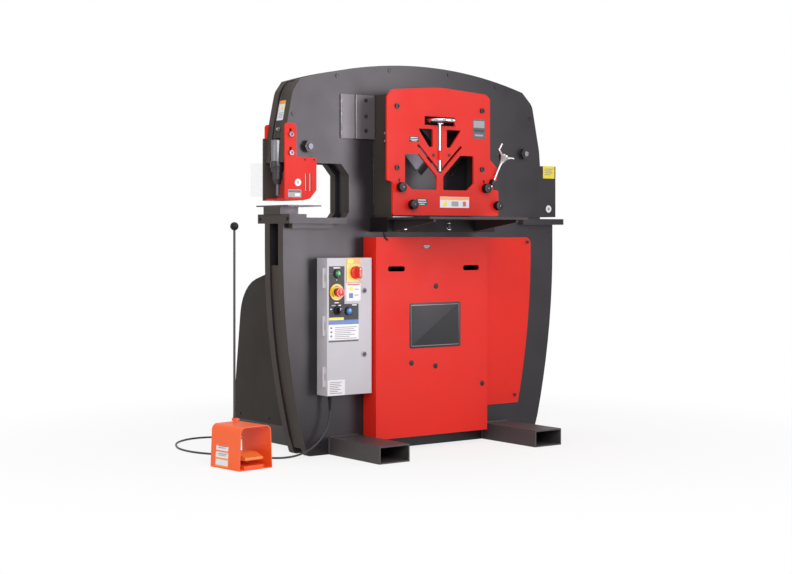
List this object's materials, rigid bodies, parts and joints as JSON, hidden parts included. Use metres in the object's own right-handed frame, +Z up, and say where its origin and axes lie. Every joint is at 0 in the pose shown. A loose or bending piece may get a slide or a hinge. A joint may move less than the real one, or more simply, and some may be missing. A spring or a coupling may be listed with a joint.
{
  "type": "hydraulic ironworker",
  "caption": "Hydraulic ironworker: twin-plate frame with punch throat, guarded shears, control box, rear power pack and foot switch.",
  "frame": {"origin": "on the floor, in the middle of the frame plates' width and thickness", "axes": "+X to the machine's right seen from the front, +Y to the back, +Z up"},
  "size_m": [1.977, 1.267, 1.7499],
  "materials": {
    "black_plastic": "black plastic",
    "blackened": "blackened steel",
    "blue_plastic": "blue plastic",
    "box_grey": "light grey enamel",
    "bright_steel": "ground tool steel",
    "chrome": "polished chrome",
    "clear": "clear plastic",
    "dark_steel": "dark machined steel",
    "frame_grey": "satin dark grey paint",
    "green_plastic": "green plastic",
    "motor_grey": "painted aluminium",
    "orange_paint": "satin orange paint",
    "red_paint": "satin red paint",
    "red_plastic": "red plastic",
    "rubber": "black rubber",
    "tank_grey": "dark grey paint"
  },
  "bodies": {
    "machine": {"front_plate": "frame_grey", "rear_plate": "frame_grey", "crown_strip": "frame_grey", "side_strips": "frame_grey", "fork_tube_left": "frame_grey", "fork_tube_right": "frame_grey", "rear_deck": "frame_grey", "rear_cover": "frame_grey", "oil_tank": "tank_grey", "pump_motor": "motor_grey", "valve_block": "bright_steel", "oil_pipes": "bright_steel", "tie_bolt": "dark_steel", "frame_pins": "dark_steel", "face_screws": "dark_steel", "pad_plate": "dark_steel", "guard_frame": "frame_grey", "shear_guard": "red_paint", "shear_bolster": "dark_steel", "shear_table": "dark_steel", "fixed_blades": "bright_steel", "end_guard": "frame_grey", "end_table": "frame_grey", "front_cover": "red_paint", "side_panel": "red_paint", "control_box": "box_grey", "punch_bolster": "dark_steel", "die_holder": "dark_steel", "die": "bright_steel", "punch_table": "dark_steel", "spindle_bearing": "blackened", "clamp_bracket": "blackened", "foot_guard": "orange_paint", "carry_rod": "bright_steel", "foot_cord": "rubber"},
    "beam": {"beam": "dark_steel", "moving_blades": "bright_steel"},
    "ram": {"punch_ram": "bright_steel", "punch_tool": "bright_steel"},
    "barrel": {"cylinder_barrel": "blackened"},
    "rod": {"piston_rod": "chrome"},
    "stripper": {"stripper": "red_paint", "clear_guard": "clear"},
    "handwheel": {"handwheel": "chrome"},
    "spindle_nut": {"spindle_nut": "red_paint"},
    "clamp_foot": {"clamp_foot": "chrome"},
    "star_handle": {"star_handle": "chrome"},
    "hold_down": {"hold_down": "blackened"},
    "knob_left": {"knob_left": "black_plastic"},
    "knob_right": {"knob_right": "black_plastic"},
    "door": {"box_door": "box_grey"},
    "latch_upper": {"latch_upper": "bright_steel"},
    "latch_lower": {"latch_lower": "bright_steel"},
    "start_button": {"start_button": "green_plastic"},
    "reset_button": {"reset_button": "blue_plastic"},
    "stop_button": {"stop_button": "red_plastic"},
    "mode_selector": {"mode_selector": "black_plastic"},
    "isolator_knob": {"isolator_knob": "red_plastic"},
    "pedal": {"foot_pedal": "orange_paint"}
  },
  "joints": [
    {"name": "beam_swing", "type": "hinge", "parent": "machine", "child": "beam", "pos_m": [0.594, 0, 1.366], "axis": [0, -1, 0], "range_deg": [0, 2.3]},
    {"name": "ram_stroke", "type": "slide", "parent": "machine", "child": "ram", "axis": [0, 0, -1], "range_m": [0, 0.0548]},
    {"name": "cylinder_swing", "type": "hinge", "parent": "machine", "child": "barrel", "pos_m": [0.06242, 0, 0.32742], "axis": [0, -1, 0], "range_deg": [-0.099, 0]},
    {"name": "rod_stroke", "type": "slide", "parent": "barrel", "child": "rod", "axis": [0.512, 0, -0.859], "range_m": [0, 0.04]},
    {"name": "stripper_slide", "type": "slide", "parent": "machine", "child": "stripper", "axis": [0, 0, -1], "range_m": [0, 0.02]},
    {"name": "handwheel_turn", "type": "hinge", "parent": "machine", "child": "handwheel", "pos_m": [-0.033, -0.212, 1.49], "axis": [0, 0, 1], "range_deg": [-2160, 1080]},
    {"name": "spindle_nut_slide", "type": "slide", "parent": "machine", "child": "spindle_nut", "axis": [0, 0, 1], "range_m": [-0.0245, 0.0485]},
    {"name": "clamp_foot_slide", "type": "slide", "parent": "machine", "child": "clamp_foot", "axis": [-0.4695, 0, -0.8829], "range_m": [0, 0.0061]},
    {"name": "star_handle_turn", "type": "hinge", "parent": "clamp_foot", "child": "star_handle", "pos_m": [0.272, -0.227, 1.214], "axis": [-0.4695, 0, -0.8829], "range_deg": [0, 1080]},
    {"name": "hold_down_slide", "type": "slide", "parent": "machine", "child": "hold_down", "axis": [0, 0, 1], "range_m": [0, 0.025]},
    {"name": "knob_left_turn", "type": "hinge", "parent": "machine", "child": "knob_left", "pos_m": [-0.201, -0.23, 1.108], "axis": [0, -1, 0], "range_deg": [0, 360]},
    {"name": "knob_right_turn", "type": "hinge", "parent": "machine", "child": "knob_right", "pos_m": [0.299, -0.23, 1.108], "axis": [0, -1, 0], "range_deg": [0, 360]},
    {"name": "door_swing", "type": "hinge", "parent": "machine", "child": "door", "pos_m": [-0.617, -0.13375, 0.569], "axis": [0, 0, -1], "range_deg": [0, 110]},
    {"name": "latch_upper_turn", "type": "hinge", "parent": "door", "child": "latch_upper", "pos_m": [-0.414, -0.153, 0.725], "axis": [0, 1, 0], "range_deg": [0, 90]},
    {"name": "latch_lower_turn", "type": "hinge", "parent": "door", "child": "latch_lower", "pos_m": [-0.414, -0.153, 0.443], "axis": [0, 1, 0], "range_deg": [0, 90]},
    {"name": "start_push", "type": "slide", "parent": "door", "child": "start_button", "axis": [0, 1, 0], "range_m": [0, 0.004], "stiffness_N_per_m": 800, "springref_m": -0.002},
    {"name": "reset_push", "type": "slide", "parent": "door", "child": "reset_button", "axis": [0, 1, 0], "range_m": [0, 0.004], "stiffness_N_per_m": 800, "springref_m": -0.002},
    {"name": "stop_push", "type": "slide", "parent": "door", "child": "stop_button", "axis": [0, 1, 0], "range_m": [0, 0.005]},
    {"name": "mode_turn", "type": "hinge", "parent": "door", "child": "mode_selector", "pos_m": [-0.556, -0.153, 0.64], "axis": [0, 1, 0], "range_deg": [-45, 45]},
    {"name": "isolator_turn", "type": "hinge", "parent": "door", "child": "isolator_knob", "pos_m": [-0.46, -0.153, 0.805], "axis": [0, 1, 0], "range_deg": [0, 90]},
    {"name": "pedal_press", "type": "hinge", "parent": "machine", "child": "pedal", "pos_m": [-1.0539, -0.09236, 0.042], "axis": [0.9945, 0.1045, 0], "range_deg": [0, 5], "stiffness_Nm_per_rad": 20, "springref_deg": -11.46}
  ],
  "couplings": [
    {"joint": "ram_stroke", "follows": "beam_swing", "m_per_rad": 1.362},
    {"joint": "cylinder_swing", "follows": "beam_swing", "ratio": -0.034178},
    {"joint": "rod_stroke", "follows": "beam_swing", "m_per_rad": 0.98807},
    {"joint": "spindle_nut_slide", "follows": "handwheel_turn", "m_per_rad": -0.0012732},
    {"joint": "clamp_foot_slide", "follows": "star_handle_turn", "m_per_rad": 0.00031831}
  ]
}
